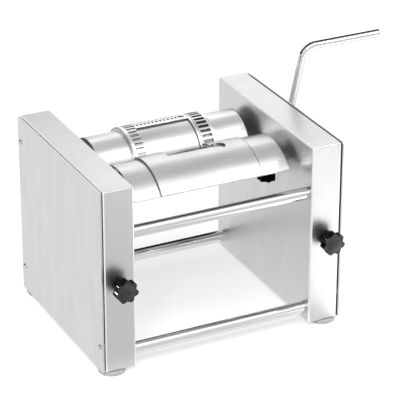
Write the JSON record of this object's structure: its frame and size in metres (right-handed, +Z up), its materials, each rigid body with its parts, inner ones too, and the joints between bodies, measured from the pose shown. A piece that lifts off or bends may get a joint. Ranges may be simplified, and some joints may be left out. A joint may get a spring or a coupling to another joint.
{
  "type": "hand crank tortilla press",
  "caption": "Hand-cranked tabletop tortilla press: a geared drum with a ring-shaped cutter and an adjustable pressure roller under a curved guard, between two sheet steel housings.",
  "frame": {"origin": "on the table, at the centre of the rectangle that the four feet stand on, midway between the side housings and between their front and back faces", "axes": "+X along the rollers towards the crank, +Y towards the back where the cutter drum is, +Z up"},
  "size_m": [0.4918, 0.3025, 0.3483],
  "materials": {
    "sheet_steel": "satin brushed stainless sheet",
    "polished_steel": "polished stainless",
    "drum_metal": "fine turned stainless",
    "cutter_metal": "satin machined aluminium",
    "plated_steel": "zinc plated",
    "gear_steel": "machined, lightly oiled",
    "bronze": "turned bearing bronze",
    "black_plastic": "gloss black moulded",
    "grey_rubber": "matt grey"
  },
  "bodies": {
    "frame": {"left_housing": "sheet_steel", "right_housing": "sheet_steel", "left_cover": "sheet_steel", "right_cover": "sheet_steel", "cover_screws": "plated_steel", "front_upper_tie_rod": "polished_steel", "front_lower_tie_rod": "polished_steel", "back_upper_tie_rod": "polished_steel", "back_lower_tie_rod": "polished_steel", "tie_rod_bolts": "plated_steel", "feet": "grey_rubber", "foot_screws": "plated_steel", "left_drum_bearing": "bronze", "right_drum_bearing": "bronze", "wall_screws": "plated_steel", "crank_bush": "bronze", "left_arm_pivot": "plated_steel", "right_arm_pivot": "plated_steel", "left_spindle_nut": "plated_steel", "right_spindle_nut": "plated_steel", "left_apron_support": "sheet_steel", "right_apron_support": "sheet_steel"},
    "drum": {"drum_tube": "drum_metal", "drum_end_caps": "black_plastic", "drum_shaft": "polished_steel", "drum_gear": "gear_steel", "drum_key": "gear_steel", "drum_collar": "plated_steel", "cutter_sleeve": "cutter_metal", "left_cutter_ring": "cutter_metal", "right_cutter_ring": "cutter_metal", "cutter_bars": "cutter_metal", "cutter_screws": "plated_steel", "crank_hub": "polished_steel", "crank_rod": "polished_steel", "crank_screw": "plated_steel"},
    "carriage": {"left_pressure_arm": "plated_steel", "right_pressure_arm": "plated_steel", "left_roller_bush": "bronze", "right_roller_bush": "bronze"},
    "roller": {"roller_tube": "drum_metal", "roller_end_caps": "black_plastic", "roller_shaft": "polished_steel", "roller_gear": "gear_steel", "roller_rings": "plated_steel"},
    "left_fork": {"left_clevis": "plated_steel", "left_clevis_pin": "plated_steel"},
    "right_fork": {"right_clevis": "plated_steel", "right_clevis_pin": "plated_steel"},
    "left_screw": {"left_spindle": "plated_steel", "left_knob": "black_plastic"},
    "right_screw": {"right_spindle": "plated_steel", "right_knob": "black_plastic"},
    "guard": {"front_apron": "sheet_steel", "apron_cheeks": "black_plastic", "feed_plate": "sheet_steel", "guard_studs": "plated_steel", "guide_nut": "plated_steel"},
    "clamp_plate": {"clamp_washer": "plated_steel"},
    "clamp_grip": {"clamp_knob": "black_plastic"}
  },
  "joints": [
    {"name": "drum_turn", "type": "hinge", "parent": "frame", "child": "drum", "pos_m": [0, 0.0595, 0.202], "axis": [1, 0, 0], "continuous": true},
    {"name": "gap_swing", "type": "hinge", "parent": "frame", "child": "carriage", "pos_m": [0, -0.013, 0.052], "axis": [1, 0, 0], "range_deg": [0, 1.15]},
    {"name": "roller_turn", "type": "hinge", "parent": "carriage", "child": "roller", "pos_m": [0, -0.013, 0.202], "axis": [1, 0, 0], "continuous": true},
    {"name": "left_fork_slide", "type": "slide", "parent": "frame", "child": "left_fork", "axis": [0, -1, 0], "range_m": [0, 0.0016]},
    {"name": "left_knob_turn", "type": "hinge", "parent": "left_fork", "child": "left_screw", "pos_m": [-0.151, -0.15, 0.132], "axis": [0, -1, 0], "range_deg": [0, 461.3]},
    {"name": "right_fork_slide", "type": "slide", "parent": "frame", "child": "right_fork", "axis": [0, -1, 0], "range_m": [0, 0.0016]},
    {"name": "right_knob_turn", "type": "hinge", "parent": "right_fork", "child": "right_screw", "pos_m": [0.151, -0.15, 0.132], "axis": [0, -1, 0], "range_deg": [0, 461.3]},
    {"name": "guard_shift", "type": "slide", "parent": "frame", "child": "guard", "axis": [1, 0, 0], "range_m": [-0.006, 0.006]},
    {"name": "clamp_lower", "type": "slide", "parent": "guard", "child": "clamp_plate", "axis": [0, 0, -1], "range_m": [0, 0.002]},
    {"name": "clamp_turn", "type": "hinge", "parent": "clamp_plate", "child": "clamp_grip", "pos_m": [0.0924, -0.07666, 0.21], "axis": [0, 0, 1], "range_deg": [0, 720.5]}
  ],
  "couplings": [
    {"joint": "roller_turn", "follows": "drum_turn", "ratio": -2.2222},
    {"joint": "left_knob_turn", "follows": "gap_swing", "ratio": 402.12},
    {"joint": "right_knob_turn", "follows": "gap_swing", "ratio": 402.12},
    {"joint": "left_fork_slide", "follows": "gap_swing", "m_per_rad": 0.08},
    {"joint": "right_fork_slide", "follows": "gap_swing", "m_per_rad": 0.08},
    {"joint": "clamp_turn", "follows": "clamp_lower", "rad_per_m": 6283.2}
  ]
}
